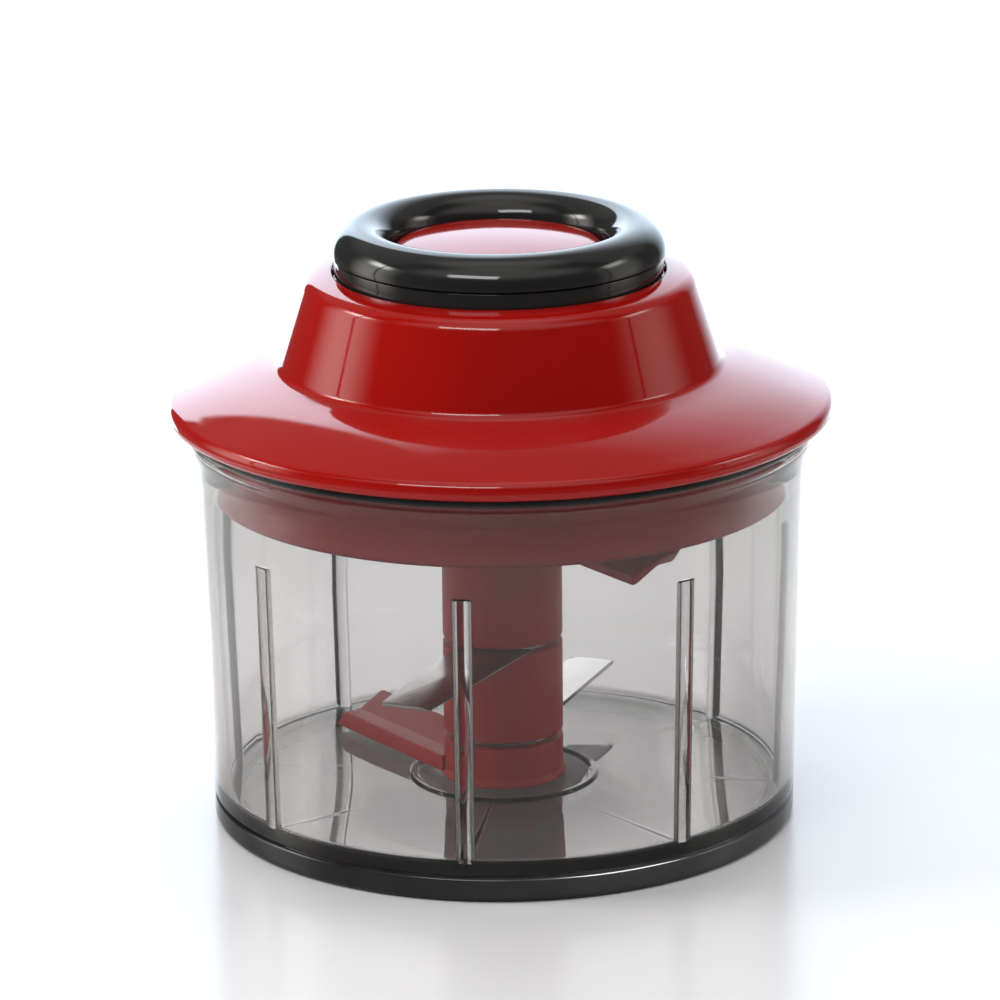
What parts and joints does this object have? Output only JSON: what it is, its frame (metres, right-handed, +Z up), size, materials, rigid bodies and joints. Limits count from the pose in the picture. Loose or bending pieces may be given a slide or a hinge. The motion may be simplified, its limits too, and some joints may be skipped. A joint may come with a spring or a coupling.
{
  "type": "pull-string food chopper",
  "caption": "Hand food chopper: a clear smoke bowl with a column of blades and paddles, under a red lid whose black ring pulls a cord from a sprung reel.",
  "frame": {"origin": "centre of the foot ring's sole, on the surface that the chopper stands on", "axes": "+Z up along the blade column's axis; the picture looks along +Y from the -Y side, with +X to its right"},
  "size_m": [0.133, 0.133, 0.1223],
  "materials": {
    "smoke_plastic": "clear smoke-tinted moulded plastic, polished",
    "red_gloss": "high-gloss red moulded plastic",
    "red_satin": "satin red moulded plastic",
    "black_gloss": "high-gloss black moulded plastic",
    "black_rubber": "smooth black rubber",
    "polished_steel": "polished stainless steel",
    "spring_steel": "tempered strip steel",
    "grey_plastic": "moulded grey plastic",
    "white_cord": "braided polyester cord"
  },
  "bodies": {
    "bowl": {"bowl": "smoke_plastic", "foot_ring": "black_rubber", "pivot_pin": "polished_steel"},
    "blades": {"core_shaft": "grey_plastic", "lower_hub": "red_satin", "lower_blade": "polished_steel", "middle_hub": "red_satin", "upper_blade": "polished_steel", "upper_hub": "red_satin"},
    "lid": {"lid_cover": "red_gloss", "lid_insert": "red_satin", "lid_screw_1": "polished_steel", "lid_screw_2": "polished_steel", "lid_screw_3": "polished_steel", "lid_screw_4": "polished_steel", "lid_seal": "black_rubber", "cord_eyelet": "polished_steel", "cord_guide": "polished_steel", "guide_pin": "polished_steel", "spindle": "polished_steel", "retaining_screw": "polished_steel", "retaining_washer": "polished_steel", "socket_bush": "black_rubber", "cord_lead": "white_cord", "pull_cord": "white_cord", "dome_cap": "red_gloss"},
    "drum": {"cord_drum": "grey_plastic", "rewind_spring": "spring_steel", "spring_cover": "grey_plastic", "drive_socket": "grey_plastic", "cord_winding": "white_cord"},
    "handle": {"pull_ring_top": "black_gloss", "pull_ring_base": "black_gloss", "ring_screw_1": "polished_steel", "ring_screw_2": "polished_steel", "ring_screw_3": "polished_steel", "cord_knot": "white_cord"}
  },
  "joints": [
    {"name": "lid_lift", "type": "slide", "parent": "bowl", "child": "lid", "axis": [0, 0, 1], "range_m": [0, 0.12]},
    {"name": "handle_pull", "type": "slide", "parent": "lid", "child": "handle", "axis": [0, 0, 1], "range_m": [0, 0.36], "stiffness_N_per_m": 15, "springref_m": -0.2, "deforming": ["pull_cord"]},
    {"name": "drum_spin", "type": "hinge", "parent": "lid", "child": "drum", "pos_m": [0, 0, 0.083], "axis": [0, 0, 1], "range_deg": [0, 1212]},
    {"name": "blade_spin", "type": "hinge", "parent": "bowl", "child": "blades", "pos_m": [0, 0, 0.0077], "axis": [0, 0, 1], "range_deg": [0, 1212]}
  ],
  "couplings": [
    {"joint": "drum_spin", "follows": "handle_pull", "rad_per_m": 58.651},
    {"joint": "blade_spin", "follows": "handle_pull", "rad_per_m": 58.651}
  ]
}
